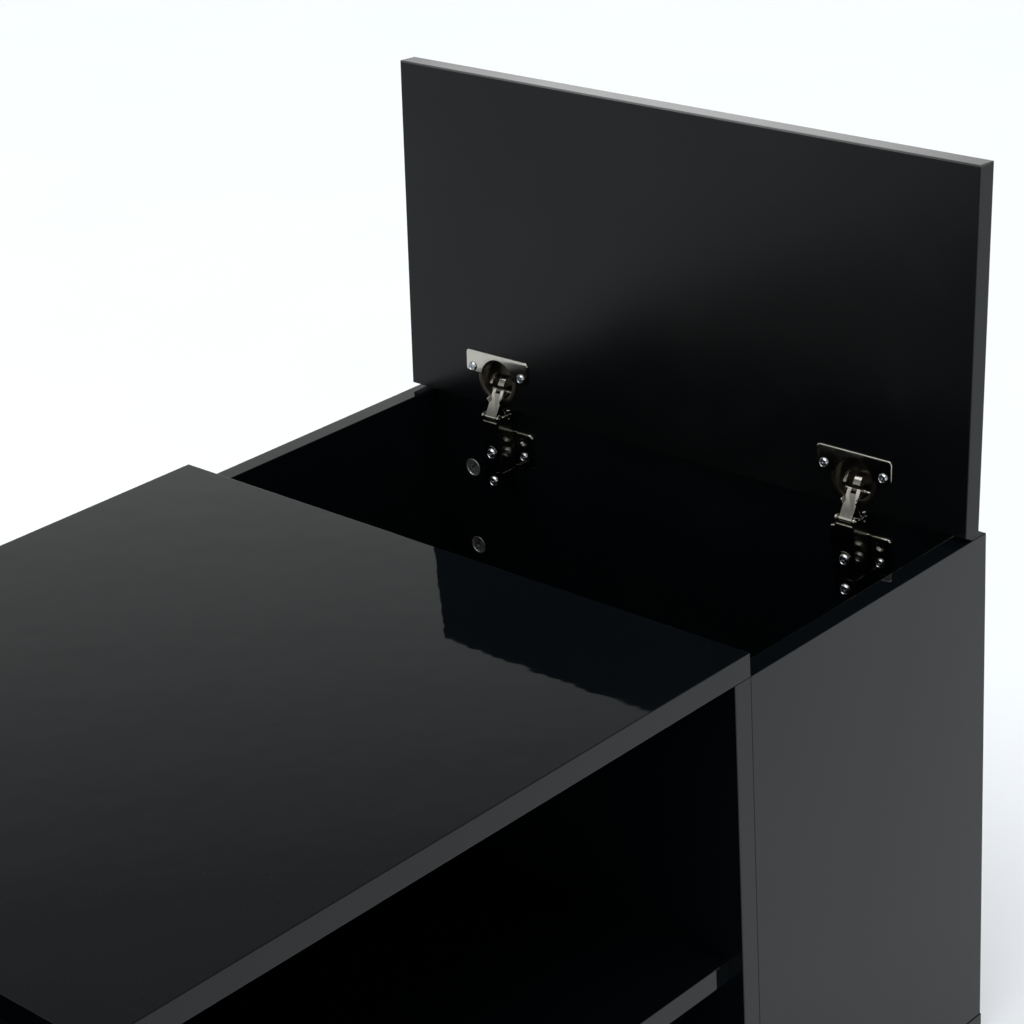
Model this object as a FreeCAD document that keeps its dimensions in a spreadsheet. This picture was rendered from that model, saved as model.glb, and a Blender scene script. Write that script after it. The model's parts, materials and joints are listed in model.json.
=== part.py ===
import FreeCAD, Part
import math
import os
import re
import Sketcher
from FreeCAD import Placement, Rotation, Vector

# A low table of black boards. A fixed top covers the middle, and each end has a storage compartment
# under a lid that flips up on two concealed cup hinges. Lids are modelled standing open.
# Frame: origin on the floor at the middle, X along the length, Y towards the back, Z up.

SIZES = {
    "table_length": 1000.0,
    "table_width": 500.0,
    "board": 15.0,
    "top_length": 500.0,
    "top_thick": 16.0,
    "carcass_height": 374.0,
    "base_thick": 16.0,
    "base_overhang": 0.5,
    "glide_height": 4.0,
    "glide_radius": 15.0,
    "glide_inset": 35.0,
    "edge_round": 0.6,
    "shelf_drop": 195.0,
    "shelf_setback": 11.0,
    "shelf_pin_radius": 2.5,
    "shelf_pin_length": 16.0,
    "shelf_pin_inset": 60.0,
    # Lids
    "lid_thick": 15.0,
    "lid_gap": 1.5,
    "seam_gap": 2.0,
    "lid_tilt": 2.9,
    "open_reach": 8.9,
    "open_rise": 4.0,
    # Joints between boards
    "dowel_radius": 3.95,
    "dowel_length": 30.0,
    "dowel_sunk": 10.0,
    "dowel_inset": 70.0,
    "dowel_play": 0.05,
    "cam_radius": 7.4,
    "cam_depth": 12.0,
    "cam_setback": 34.0,
    "cam_drop_top": 58.0,
    "cam_drop_middle": 123.0,
    "cam_rise_bottom": 58.0,
    "cam_bolt_radius": 3.0,
    "cam_bolt_thread": 11.0,
    # Hinges
    "hinge_inset": 89.0,
    "cup_radius": 17.5,
    "cup_depth": 12.2,
    "cup_setback": 20.5,
    "cup_well": 17.2,
    "flange_length": 61.0,
    "flange_width": 17.5,
    "flange_start": 22.5,
    "flange_corner": 3.5,
    "flange_thick": 1.2,
    "cup_screw_pitch": 48.0,
    "cup_screw_setback": 27.0,
    "pivot_in": 12.0,
    "pivot_deep": 2.0,
    "link_offset": 19.0,
    "second_pivot_in": 11.0,
    "second_pivot_deep": 5.6,
    "second_arm_out": 6.5,
    "second_arm_drop": 5.0,
    "knee_out": 13.4,
    "knee_rise": 10.4,
    "slot_wall": 0.8,
    "slot_play": 0.15,
    "cup_floor": 0.8,
    "pin_radius": 1.1,
    "pin_grip": 1.8,
    "pin_play": 0.06,
    "link_width": 10.2,
    "link_sheet": 1.4,
    "link_eye": 1.9,
    "link_play": 0.2,
    "strap_sheet": 1.1,
    "strap_width": 2.2,
    "lug_width": 4.0,
    "lug_length": 3.8,
    "arm_width": 16.0,
    "arm_sheet": 1.4,
    "arm_height": 19.0,
    "arm_length": 58.0,
    "plate_span": 51.0,
    "plate_drop": 16.0,
    "plate_height": 28.0,
    "plate_thick": 2.0,
    "plate_corner": 4.0,
    "plate_hole_pitch": 33.0,
    "plate_high_hole": 7.0,
    "plate_low_hole": 19.0,
    "adjuster_drop": 30.0,
    "clamp_drop": 52.5,
    "adjuster_radius": 2.2,
    "adjuster_length": 9.0,
    "adjuster_head": 4.0,
    "arm_nose": 4.5,
    "arm_ear": 2.6,
    "arm_ring": 5.6,
    "ring_height": 0.7,
    "screw_radius": 1.75,
    "screw_length": 12.0,
    "screw_head_radius": 3.6,
    "screw_head_height": 1.9,
}

doc = FreeCAD.newDocument("FlipLidTable")
sheet = doc.addObject("Spreadsheet::Sheet", "Sizes")
for row, (alias, value) in enumerate(SIZES.items(), start=1):
    sheet.set("A%d" % row, alias)
    sheet.set("B%d" % row, str(value))
    sheet.setAlias("B%d" % row, alias)
doc.recompute()

WORDS = re.compile(r"[a-z][a-z_]+")
nodes = {}


def size(alias):
    return float(sheet.get(alias))


def bind(piece, **formulas):
    """Bind properties to formulas written with the sheet's aliases."""
    for path, text in formulas.items():
        text = WORDS.sub(lambda word: "Sizes." + word[0] if word[0] in SIZES else word[0], text)
        piece.setExpression(path.replace("__", "."), text)


def at(piece, x="0", y="0", z="0"):
    bind(piece, Placement__Base__x=x, Placement__Base__y=y, Placement__Base__z=z)
    return piece


def keep(piece, label, placement=None):
    """Name a finished sub-part, which is written to its own file."""
    if placement is not None:
        piece.Placement = placement
    piece.Label = label
    nodes[label] = piece
    return piece


# Part primitives: every one is written with its lowest corner or its axis start.

def box(length, width, height, x="0", y="0", z="0"):
    piece = doc.addObject("Part::Box", "Block")
    bind(piece, Length=length, Width=width, Height=height)
    return at(piece, x, y, z)


TURNS = {"X": Rotation(Vector(0, 1, 0), 90), "Y": Rotation(Vector(1, 0, 0), -90), "Z": Rotation()}


def rod(radius, length, x="0", y="0", z="0", axis="Z"):
    piece = doc.addObject("Part::Cylinder", "Rod")
    piece.Placement = Placement(Vector(), TURNS[axis])
    bind(piece, Radius=radius, Height=length)
    return at(piece, x, y, z)


def cone(first, second, length, x="0", y="0", z="0", axis="Z"):
    piece = doc.addObject("Part::Cone", "Taper")
    piece.Placement = Placement(Vector(), TURNS[axis])
    bind(piece, Radius1=first, Radius2=second, Height=length)
    return at(piece, x, y, z)


def joined(*pieces):
    fuse = doc.addObject("Part::MultiFuse", "Joined")
    fuse.Shapes = list(pieces)
    fuse.Refine = True
    return fuse


def cut(piece, *tools):
    result = doc.addObject("Part::Cut", "Cut")
    result.Base = piece
    result.Tool = tools[0] if len(tools) == 1 else joined(*tools)
    return result


# Boards: a padded rectangle with rounded edges, then drilled.

def origin_plane(body, role):
    return next(item for item in body.Origin.OriginFeatures if item.Role == role)


def sketch_on(body, role, name, offset="0"):
    sketch = body.newObject("Sketcher::SketchObject", name)
    sketch.AttachmentSupport = (origin_plane(body, role), [""])
    sketch.MapMode = "FlatFace"
    bind(sketch, AttachmentOffset__Base__z=offset)
    return sketch


def constrain(sketch, kind, *where, formula):
    index = sketch.addConstraint(Sketcher.Constraint(kind, *where, 1.0))
    bind(sketch, **{"Constraints[%d]" % index: formula})


def rectangle(sketch, width, height):
    corners = [Vector(0, 0), Vector(9, 0), Vector(9, 9), Vector(0, 9)]
    for start, end in zip(corners, corners[1:] + corners[:1]):
        sketch.addGeometry(Part.LineSegment(start, end), False)
    for line in range(4):
        sketch.addConstraint(Sketcher.Constraint("Coincident", line, 2, (line + 1) % 4, 1))
    for line, kind in enumerate(("Horizontal", "Vertical", "Horizontal", "Vertical")):
        sketch.addConstraint(Sketcher.Constraint(kind, line))
    sketch.addConstraint(Sketcher.Constraint("Coincident", 0, 1, -1, 1))
    constrain(sketch, "DistanceX", 0, 1, 0, 2, formula=width)
    constrain(sketch, "DistanceY", 1, 1, 1, 2, formula=height)


def board(name, length, width, height, x, y, z):
    """A board whose frame is its own lowest corner."""
    body = doc.addObject("PartDesign::Body", name)
    outline = sketch_on(body, "XY_Plane", "Outline")
    rectangle(outline, length, width)
    pad = body.newObject("PartDesign::Pad", "Thickness")
    pad.Profile = outline
    bind(pad, Length=height)
    doc.recompute()
    soften = body.newObject("PartDesign::Fillet", "Edges")
    soften.Base = (pad, ["Edge%d" % (edge + 1) for edge in range(len(pad.Shape.Edges))])
    bind(soften, Radius="edge_round")
    doc.recompute()
    if x is not None:
        at(body, x, y, z)
    return keep(body, name)


def drill(body, role, radius, depth, centres, offset="0", back=False):
    """Round holes from one of the board's origin planes, or from a plane parallel to it."""
    holes = sketch_on(body, role, "Centres", offset)
    for index, (across, up) in enumerate(centres):
        holes.addGeometry(Part.Circle(Vector(1 + index, 1, 0), Vector(0, 0, 1), 0.5), False)
        constrain(holes, "DistanceX", -1, 1, index, 3, formula=across)
        constrain(holes, "DistanceY", -1, 1, index, 3, formula=up)
        constrain(holes, "Radius", index, formula=radius)
    before = body.Shape.Volume
    pocket = body.newObject("PartDesign::Pocket", "Drilled")
    pocket.Profile = holes
    pocket.Reversed = back
    bind(pocket, Length=depth)
    doc.recompute()
    if body.Shape.Volume >= before:
        raise RuntimeError(body.Label + ": a hole cuts nothing")


def turned(name, outline):
    """A round piece about its own Z axis, from an outline of (radius, height) formulas."""
    body = doc.addObject("PartDesign::Body", name)
    profile = sketch_on(body, "XZ_Plane", "Profile")
    count = len(outline)
    for index in range(count):
        profile.addGeometry(Part.LineSegment(Vector(index, index ** 2), Vector(index + 1, 0.5 - index)), False)
    for line in range(count):
        profile.addConstraint(Sketcher.Constraint("Coincident", line, 2, (line + 1) % count, 1))
    for line, (radius, height) in enumerate(outline):
        constrain(profile, "DistanceX", -1, 1, line, 1, formula=radius)
        constrain(profile, "DistanceY", -1, 1, line, 1, formula=height)
    doc.recompute()
    spun = body.newObject("PartDesign::Revolution", "Turned")
    spun.Profile = profile
    spun.ReferenceAxis = (profile, ["V_Axis"])
    spun.Angle = 360.0
    doc.recompute()
    return body


def group(label, *sets):
    """Identical pieces share one node as separate solids; each set is a master and its places."""
    piece = doc.addObject("Part::Feature", label)
    copies = []
    for master, places in sets:
        for place in places:
            for solid in master.Shape.Solids:
                copy = solid.copy()
                copy.Placement = place.multiply(copy.Placement)
                copies.append(copy)
    piece.Shape = Part.makeCompound(copies)
    return keep(piece, label)


# Linkage worked out in the hinge's own frame: u out from the end panel's inner face, v up from the rim.
# Each lid turns on two links. The first carries it, the second has a slotted eye at the arm.

def lid_point(share, along, deep):
    """A point of the lid, along from its hinged edge and deep from its inner face; share 0 is closed."""
    turn = share * open_turn
    pivot = cup_pivot(share)
    along -= size("pivot_in")
    deep -= size("pivot_deep")
    return pivot + Vector(along * math.cos(turn) - deep * math.sin(turn),
                          along * math.sin(turn) + deep * math.cos(turn), 0)


def cup_pivot(share):
    heading = link_closed + share * (link_open - link_closed)
    return arm_pivot + Vector(math.cos(heading), math.sin(heading), 0) * link_length


def heading_of(vector):
    return math.atan2(vector.y, vector.x) % (2 * math.pi)


open_turn = math.radians(90.0 + size("lid_tilt"))
lean = math.radians(size("lid_tilt"))
closed_pivot = Vector(size("pivot_in") - size("board"), size("pivot_deep") + size("lid_gap"), 0)
open_pivot = Vector(
    size("open_reach") - size("pivot_in") * math.sin(lean) - size("pivot_deep") * math.cos(lean),
    size("open_rise") + size("pivot_in") * math.cos(lean) - size("pivot_deep") * math.sin(lean), 0)
swing = open_pivot - closed_pivot
arm_pivot = (open_pivot + closed_pivot) * 0.5 + Vector(swing.y, -swing.x, 0).normalize() * size("link_offset")
link_length = (open_pivot - arm_pivot).Length
link_closed = heading_of(closed_pivot - arm_pivot)
link_open = heading_of(open_pivot - arm_pivot)

second_pivot = Vector(size("second_arm_out"), -size("second_arm_drop"), 0)
STEPS = 24
reaches = [lid_point(step / STEPS, size("second_pivot_in"), size("second_pivot_deep")) - second_pivot
           for step in range(STEPS + 1)]
second_closed = heading_of(reaches[0])
second_open = heading_of(reaches[-1])
second_length = (min(reach.Length for reach in reaches) + max(reach.Length for reach in reaches)) / 2
slips = []
for step, reach in enumerate(reaches):
    off = heading_of(reach) - second_closed - step / STEPS * (second_open - second_closed)
    slips.append((reach.Length * math.cos(off) - second_length, reach.Length * math.sin(off)))

second_cup = lid_point(1, size("second_pivot_in"), size("second_pivot_deep"))
second_foot = second_cup - Vector(math.cos(second_open), math.sin(second_open), 0) * second_length
knee = Vector(size("knee_out"), size("knee_rise"), 0) - second_foot
crank = second_cup - second_foot - knee

DERIVED = {
    "arm_pivot_out": arm_pivot.x,
    "arm_pivot_drop": -arm_pivot.y,
    "link_reach": link_length,
    "second_reach": second_length,
    "knee_reach": knee.Length,
    "crank_reach": crank.Length,
    "slot_back": -min(along for along, across in slips),
    "slot_front": max(along for along, across in slips),
    "slot_low": -min(across for along, across in slips),
    "slot_high": max(across for along, across in slips),
}
for row, (alias, value) in enumerate(DERIVED.items(), start=len(SIZES) + 1):
    sheet.set("A%d" % row, alias)
    sheet.set("B%d" % row, "%.4f" % value)
    sheet.setAlias("B%d" % row, alias)
    SIZES[alias] = value
doc.recompute()

lid_turn = open_turn + link_closed - link_open
print("pivots in the hinge frame: arm %.3f %.3f, open lid %.3f %.3f, second link on the open lid %.3f %.3f"
      % (arm_pivot.x, arm_pivot.y, open_pivot.x, open_pivot.y, second_cup.x, second_cup.y))
print("lid closes through %.3f degrees, first link ratio %.5f, second link ratio %.5f"
      % (math.degrees(lid_turn), (link_closed - link_open) / lid_turn,
         (second_closed - second_open + open_turn) / lid_turn))

RIM = "(glide_height + base_thick + carcass_height)"
FLOOR = "(glide_height + base_thick)"
BAY = "(table_length - top_length) / 2"
INSIDE = "(table_width - 2 * board)"
rim = size("glide_height") + size("base_thick") + size("carcass_height")
hinge_side = size("table_width") / 2 - size("hinge_inset")
SIDES = {"right": 1, "left": -1}
ENDS = {"front": -1, "back": 1}


def hinge_frame(side, across=0.0):
    """The hinge's frame on one end panel: its X points into the compartment."""
    spin = Rotation(Vector(0, 0, 1), 180 if side > 0 else 0)
    return Placement(Vector(side * (size("table_length") / 2 - size("board")), across, rim), spin)


def turned_in(frame, pivot, heading):
    return frame.multiply(Placement(Vector(pivot.x, 0, pivot.y),
                                    Rotation(Vector(0, 1, 0), -math.degrees(heading))))


# Boards

board("top_panel", "top_length", "table_width", "top_thick", "-top_length / 2", "-table_width / 2", RIM)
board("bottom_board", "table_length + 2 * base_overhang", "table_width + 2 * base_overhang", "base_thick",
      "-table_length / 2 - base_overhang", "-table_width / 2 - base_overhang", "glide_height")
board("centre_back_panel", "top_length - 2 * board", "board", "carcass_height",
      "board - top_length / 2", "table_width / 2 - board", FLOOR)
board("shelf", "top_length - 2 * board", "table_width - shelf_setback - board", "board",
      "board - top_length / 2", "shelf_setback - table_width / 2", RIM + " - shelf_drop - board")

DOWEL_ROWS = ["dowel_inset", "table_width / 2", "table_width - dowel_inset"]
HOLE = "dowel_radius + dowel_play"
SEAM_SHARES = (0.25, 0.75)
SEAM_DROPS = ["carcass_height * %s" % share for share in SEAM_SHARES]
PIN_ROWS = ["shelf_pin_inset + shelf_setback", "table_width - board - shelf_pin_inset"]
CAM_HEIGHTS = ["carcass_height - cam_drop_top", "carcass_height - cam_drop_middle", "cam_rise_bottom"]
PLATE_SCREWS = ["plate_hole_pitch / 2", "-plate_hole_pitch / 2"]
SCREW_HEIGHT = "carcass_height - plate_drop - plate_low_hole"

for side_name, side in SIDES.items():
    right = side > 0
    partition = board("partition_" + side_name, "board", "table_width", "carcass_height",
                      "top_length / 2 - board" if right else "-top_length / 2", "-table_width / 2", FLOOR)
    depth = "dowel_length - dowel_sunk"
    drill(partition, "XY_Plane", HOLE, depth, [("board / 2", row) for row in DOWEL_ROWS], "carcass_height")
    drill(partition, "XY_Plane", HOLE, depth, [("board / 2", row) for row in DOWEL_ROWS], back=True)
    pin_heights = "carcass_height - shelf_drop - board - shelf_pin_radius"
    drill(partition, "YZ_Plane", "shelf_pin_radius", "shelf_pin_length / 2",
          [(row, pin_heights) for row in PIN_ROWS], "0" if right else "board", back=right)
    seam_rows = [(row, drop) for row in ("board / 2", "table_width - board / 2") for drop in SEAM_DROPS]
    drill(partition, "YZ_Plane", HOLE, "dowel_sunk", seam_rows, "board" if right else "0", back=not right)

    bay_start = "top_length / 2" if right else "-table_length / 2"
    bolt_across = BAY + " - board / 2" if right else "board / 2"
    for end_name, end in ENDS.items():
        panel = board(end_name + "_panel_" + side_name, BAY, "board", "carcass_height", bay_start,
                      "-table_width / 2" if end < 0 else "table_width / 2 - board", FLOOR)
        drill(panel, "XZ_Plane", "cam_bolt_radius - 0.5", "cam_bolt_thread",
              [(bolt_across, height) for height in CAM_HEIGHTS], "-board" if end < 0 else "0", back=end < 0)
        seam_line = [("board / 2", drop) for drop in SEAM_DROPS]
        drill(panel, "YZ_Plane", HOLE, "dowel_length - dowel_sunk", seam_line, "0" if right else BAY, back=right)

    panel = board("end_panel_" + side_name, "board", INSIDE, "carcass_height",
                  "table_length / 2 - board" if right else "-table_length / 2", "board - table_width / 2", FLOOR)
    face = "0" if right else "board"
    cam_rows = ("cam_setback", INSIDE + " - cam_setback")
    cam_places = [(row, height) for row in cam_rows for height in CAM_HEIGHTS]
    drill(panel, "YZ_Plane", "cam_radius", "cam_depth", cam_places, face, back=right)
    bolt_line = [("board / 2", height) for height in CAM_HEIGHTS]
    drill(panel, "XZ_Plane", "cam_bolt_radius + 1", "cam_setback", bolt_line)
    drill(panel, "XZ_Plane", "cam_bolt_radius + 1", "cam_setback", bolt_line, "-" + INSIDE, back=True)
    hinge_rows = ["hinge_inset - board", "table_width - board - hinge_inset"]
    drill(panel, "YZ_Plane", "screw_radius", "screw_length - plate_thick + 0.5",
          [("%s + %s" % (row, offset), SCREW_HEIGHT) for row in hinge_rows for offset in PLATE_SCREWS],
          face, back=right)

    lid = board("lid_" + side_name, BAY + " - seam_gap", "table_width", "lid_thick", None, None, None)
    cups = ["hinge_inset", "table_width - hinge_inset"]
    drill(lid, "XY_Plane", "cup_radius", "cup_depth + 0.5", [("cup_setback", row) for row in cups], back=True)
    pitch = ["cup_screw_pitch / 2", "-cup_screw_pitch / 2"]
    drill(lid, "XY_Plane", "screw_radius", "screw_length - flange_thick + 0.5",
          [("cup_screw_setback", "%s + %s" % (row, offset)) for row in cups for offset in pitch], back=True)
    lid.Placement = turned_in(hinge_frame(side), Vector(size("open_reach"), size("open_rise"), 0), open_turn) \
        .multiply(Placement(Vector(0, -size("table_width") / 2, 0), Rotation()))

for plane_offset, name, low in (("0", "top_panel", True), ("base_thick", "bottom_board", False)):
    edge = "0" if low else "base_overhang"
    columns = ["board / 2 + " + edge, "top_length - board / 2 + " + edge]
    if not low:
        columns = [BAY + " + " + column for column in columns]
    drill(nodes[name], "XY_Plane", HOLE, "dowel_sunk",
          [(column, row + " + " + edge) for column in columns for row in DOWEL_ROWS], plane_offset, back=low)

# Fasteners between the boards

peg = turned("Dowel", [("0", "0"), ("dowel_radius - 0.6", "0"), ("dowel_radius", "0.8"),
                       ("dowel_radius", "dowel_length - 0.8"), ("dowel_radius - 0.6", "dowel_length"),
                       ("0", "dowel_length")])
sunk = size("dowel_sunk")
pegs = []
seam_pegs = []
for side in SIDES.values():
    column = side * (size("top_length") - size("board")) / 2
    for row in (-1, 0, 1):
        y = row * (size("table_width") / 2 - size("dowel_inset"))
        pegs.append(Placement(Vector(column, y, rim + sunk - size("dowel_length")), Rotation()))
        pegs.append(Placement(Vector(column, y, size("glide_height") + size("base_thick") - sunk), Rotation()))
    for end in ENDS.values():
        for share in SEAM_SHARES:
            seam_pegs.append(Placement(
                Vector(side * (size("top_length") / 2 - sunk), end * (size("table_width") - size("board")) / 2,
                       rim - share * size("carcass_height")), Rotation(Vector(0, 1, 0), side * 90)))
group("panel_dowels", (peg, pegs))
group("seam_dowels", (peg, seam_pegs))

pin = turned("ShelfPin", [("0", "0"), ("shelf_pin_radius", "0"), ("shelf_pin_radius", "shelf_pin_length - 0.5"),
                          ("shelf_pin_radius - 0.5", "shelf_pin_length"), ("0", "shelf_pin_length")])
pins = []
for side in SIDES.values():
    for y in (size("shelf_pin_inset") + size("shelf_setback") - size("table_width") / 2,
              size("table_width") / 2 - size("board") - size("shelf_pin_inset")):
        pins.append(Placement(
            Vector(side * (size("top_length") / 2 - size("board") + size("shelf_pin_length") / 2), y,
                   rim - size("shelf_drop") - size("board") - size("shelf_pin_radius")),
            Rotation(Vector(0, 1, 0), -side * 90)))
group("shelf_pins", (pin, pins))

HEAD = "cam_bolt_thread + cam_setback"
bolt = turned("CamBolt", [
    ("0", "0"), ("cam_bolt_radius - 0.5", "0"), ("cam_bolt_radius - 0.5", "cam_bolt_thread"),
    ("cam_bolt_radius", "cam_bolt_thread"), ("cam_bolt_radius", HEAD + " - 8"),
    ("cam_bolt_radius * 0.55", HEAD + " - 8"), ("cam_bolt_radius * 0.55", HEAD + " - 2.5"),
    ("cam_bolt_radius", HEAD + " - 1.5"), ("cam_bolt_radius", HEAD + " + 1.5"), ("0", HEAD + " + 2.5")])
slot = box("cam_bolt_radius * 2 + 1", "cam_radius + 4", "cam_bolt_radius * 2 + 1",
           "-cam_bolt_radius - 0.5", "-cam_radius - 0.5", "board / 2 - cam_bolt_radius - 0.5")
cross = [box("cam_radius", "1.2", "2", "-cam_radius / 2", "-0.6", "-0.4"),
         box("1.2", "cam_radius", "2", "-0.6", "-cam_radius / 2", "-0.4")]
cam = cut(rod("cam_radius", "cam_depth"), slot, *cross)
doc.recompute()
bolts = []
cams = []
for side in SIDES.values():
    for end in ENDS.values():
        wall = end * (size("table_width") / 2 - size("board"))
        for height in (rim - size("cam_drop_top"), rim - size("cam_drop_middle"),
                       rim - size("carcass_height") + size("cam_rise_bottom")):
            bolts.append(Placement(
                Vector(side * (size("table_length") - size("board")) / 2,
                       wall + end * size("cam_bolt_thread"), height), Rotation(Vector(1, 0, 0), end * 90)))
            inward = Rotation(Vector(0, 1, 0), side * 90)
            cams.append(Placement(
                Vector(side * (size("table_length") / 2 - size("board")), wall - end * size("cam_setback"),
                       height),
                inward.multiply(Rotation(Vector(0, 0, 1), 180 if end > 0 else 0))))
group("cam_bolts", (bolt, bolts))
group("cam_locks", (cam, cams))

glide = turned("Glide", [("0", "0"), ("glide_radius - 1.2", "0"), ("glide_radius", "1.2"),
                         ("glide_radius", "glide_height"), ("0", "glide_height")])
glides = []
for x in (size("table_length") / 2 - size("glide_inset"), (size("top_length") - size("board")) / 2):
    for y in (-1, 1):
        for side in SIDES.values():
            glides.append(Placement(Vector(side * x, y * (size("table_width") / 2 - size("glide_inset")), 0),
                                    Rotation()))
group("glides", (glide, glides))


# Hinges: every piece is drawn in the hinge's frame, or in its own link's or the lid's, and then placed.

def rounded(thick, low, wide, start, deep, radius, begin):
    """A plate in the YZ plane with round corners, from low across and start up."""
    inner = [box(thick, "%s - 2 * %s" % (wide, radius), deep, begin, "%s + %s" % (low, radius), start),
             box(thick, wide, "%s - 2 * %s" % (deep, radius), begin, low, "%s + %s" % (start, radius))]
    for across in (radius, "%s - %s" % (wide, radius)):
        for up in (radius, "%s - %s" % (deep, radius)):
            inner.append(rod(radius, thick, begin, "%s + %s" % (low, across), "%s + %s" % (start, up), "X"))
    return joined(*inner)


def hinge_plate():
    wings = rounded("plate_thick", "-plate_span / 2", "plate_span", "-plate_drop - plate_height",
                    "plate_height", "plate_corner", "0")
    saddle_width = "(arm_width - 2 * arm_sheet - 1.2)"
    tail = box("plate_thick", saddle_width, "arm_length - plate_drop", "0", "-%s / 2" % saddle_width,
               "-arm_length")
    saddle = box("arm_height * 0.55 - plate_thick", saddle_width, "plate_height", "plate_thick",
                 "-%s / 2" % saddle_width, "-plate_drop - plate_height")
    post = box("arm_height - arm_sheet - plate_thick", saddle_width,
               "arm_length - plate_drop - plate_height - 2", "plate_thick", "-%s / 2" % saddle_width,
               "-arm_length")
    holes = []
    for side_formula in PLATE_SCREWS:
        low_hole = "-plate_drop - plate_low_hole"
        high_hole = "-plate_drop - plate_high_hole"
        holes.append(rod("screw_radius + 0.25", "plate_thick + 2", "-1", side_formula, low_hole, "X"))
        holes.append(rod("screw_radius + 0.25", "plate_thick + 2", "-1", side_formula, high_hole, "X"))
        holes.append(cone("screw_radius", "screw_head_radius", "plate_thick * 0.8", "plate_thick * 0.21",
                          side_formula, high_hole, "X"))
    holes.append(rod("adjuster_radius", "arm_height", "1", "0", "-adjuster_drop", "X"))
    holes.append(rod("adjuster_radius", "arm_height", "arm_height - adjuster_length", "0", "-clamp_drop", "X"))
    return cut(joined(wings, tail, saddle, post), *holes)


def hinge_arm():
    web = box("arm_sheet", "arm_width", "arm_length - arm_nose", "arm_height - arm_sheet", "-arm_width / 2",
              "-arm_length")
    parts = [web, rod("arm_ring", "ring_height", "arm_height", "0", "-adjuster_drop", "X")]
    holes = [rod("adjuster_radius + 0.3", "arm_sheet + 4", "arm_height - arm_sheet - 1", "0", "-" + drop, "X")
             for drop in ("adjuster_drop", "clamp_drop")]
    for start in ("-arm_width / 2", "arm_width / 2 - arm_sheet"):
        parts.append(box("arm_height - 5", "arm_sheet", "plate_drop + plate_height - arm_nose - 1", "5", start,
                         "-plate_drop - plate_height + 1"))
        parts.append(box("arm_pivot_out + arm_ear - second_arm_out + arm_ear", "arm_sheet",
                         "second_arm_drop + arm_nose - arm_pivot_drop", "second_arm_out - arm_ear", start,
                         "-second_arm_drop - arm_nose"))
        parts.append(rod("arm_ear", "arm_sheet", "arm_pivot_out", start, "-arm_pivot_drop", "Y"))
    for across, drop in (("arm_pivot_out", "arm_pivot_drop"), ("second_arm_out", "second_arm_drop")):
        holes.append(rod("pin_radius", "arm_width + 4", across, "-arm_width / 2 - 2", "-" + drop, "Y"))
    return cut(joined(*parts), *holes)


def outer_link():
    """The first link: a plate with folded sides, an eye at each end, and a notch for the cup's lug."""
    half = "link_width / 2"
    parts = [box("link_reach", "link_width", "link_sheet", "0", "-" + half, "link_play / 2 - link_eye")]
    for start in ("-" + half, half + " - link_sheet"):
        parts.append(box("link_reach - 2 * link_play", "link_sheet", "link_eye + link_play", "link_play", start,
                         "link_play / 2 - link_eye"))
    for along in ("0", "link_reach"):
        parts.append(rod("link_eye", "link_width", along, "-" + half, "0", "Y"))
    gap = "(lug_width / 2 + link_play)"
    notch = box("2 * link_eye + 6 * link_play", "2 * " + gap, "4 * link_eye",
                "link_reach - link_eye - 4 * link_play", "-" + gap, "-2 * link_eye")
    bores = [rod("pin_radius + pin_play", "link_width + 4", along, "-%s - 2" % half, "0", "Y")
             for along in ("0", "link_reach")]
    return cut(joined(*parts), notch, *bores)


def placed(piece, placement):
    """Fix a primitive in place, where its formulas don't carry it."""
    for axis in "xyz":
        piece.setExpression(".Placement.Base." + axis, None)
    piece.Placement = placement
    return piece


def inner_link(foot_heading):
    """The second link: two bent straps beside the first link, each with an eye and a slotted eye."""
    play = "(pin_radius + slot_play)"
    straps = []
    for across in ("link_width / 2 + link_play", "-link_width / 2 - link_play - strap_sheet"):
        side = size("link_width") / 2 + size("link_play")
        side = side if across[0] != "-" else -side - size("strap_sheet")
        turn_knee = heading_of(knee) - foot_heading
        turn_crank = heading_of(crank) - foot_heading
        bend = Vector(knee.Length * math.cos(turn_knee), knee.Length * math.sin(turn_knee), 0)
        lower = Placement(Vector(0, side, -size("strap_width") / 2), Rotation())
        parts = [placed(box("knee_reach", "strap_sheet", "strap_width"),
                        turned_in(Placement(), Vector(), turn_knee).multiply(lower)),
                 placed(box("crank_reach", "strap_sheet", "strap_width"),
                        turned_in(Placement(), bend, turn_crank).multiply(lower)),
                 placed(rod("strap_width / 2", "strap_sheet", axis="Y"),
                        Placement(Vector(bend.x, side, bend.y), TURNS["Y"])),
                 rod("link_eye", "strap_sheet", "second_reach", across, "0", "Y"),
                 box("slot_back + slot_front + 2 * %s + 2 * slot_wall" % play, "strap_sheet",
                     "slot_low + slot_high + 2 * %s + 2 * slot_wall" % play,
                     "-slot_front - %s - slot_wall" % play, across, "-slot_high - %s - slot_wall" % play)]
        window = box("slot_back + slot_front + 2 * %s" % play, "strap_sheet + 2",
                     "slot_low + slot_high + 2 * %s" % play, "-slot_front - %s" % play, across + " - 1",
                     "-slot_high - %s" % play)
        bore = rod("pin_radius + pin_play", "strap_sheet + 2", "second_reach", across + " - 1", "0", "Y")
        straps.append(cut(joined(*parts), window, bore))
    pair = doc.addObject("Part::Compound", "Straps")
    pair.Links = straps
    return pair


open_link = turned_in(Placement(), Vector(size("open_reach"), size("open_rise"), 0), open_turn).inverse() \
    .multiply(turned_in(Placement(), arm_pivot, link_open))


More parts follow.
